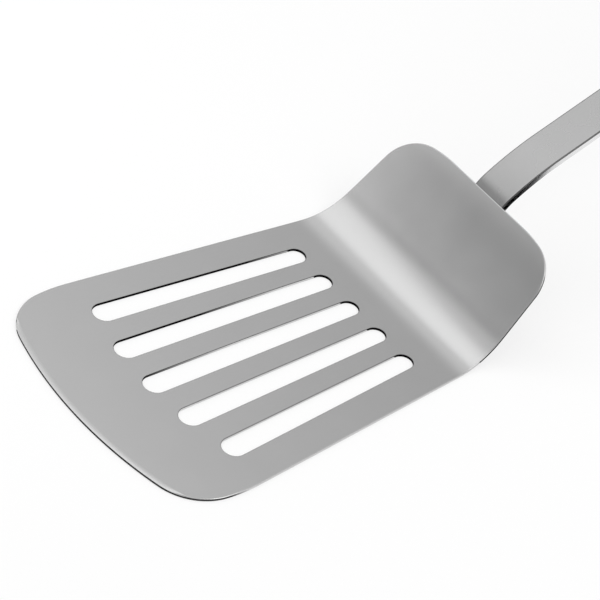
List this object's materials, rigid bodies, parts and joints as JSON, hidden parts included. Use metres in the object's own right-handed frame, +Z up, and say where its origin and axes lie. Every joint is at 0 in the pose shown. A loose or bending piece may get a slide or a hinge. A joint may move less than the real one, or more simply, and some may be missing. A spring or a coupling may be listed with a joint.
{
  "type": "slotted kitchen turner",
  "caption": "Stainless steel kitchen turner with a flat slotted blade, a neck raised behind it, and a slim flat bar handle with a hanging slot.",
  "frame": {"origin": "underside of the flat blade on its centre line, on solid sheet between the rear ends of the slots and the bend", "axes": "+Z up out of the blade's top face, +X from the tip towards the handle, +Y to the left when looking from the tip's end along +X"},
  "size_m": [0.3237, 0.0852, 0.0844],
  "materials": {
    "blade_steel": "satin stainless sheet with polished cut edges",
    "handle_steel": "fine brushed stainless bar",
    "weld_steel": "dull, heat tinted"
  },
  "bodies": {
    "root": {"blade": "blade_steel", "handle": "handle_steel", "spot_weld_1": "weld_steel", "spot_weld_2": "weld_steel", "spot_weld_3": "weld_steel"}
  },
  "joints": []
}
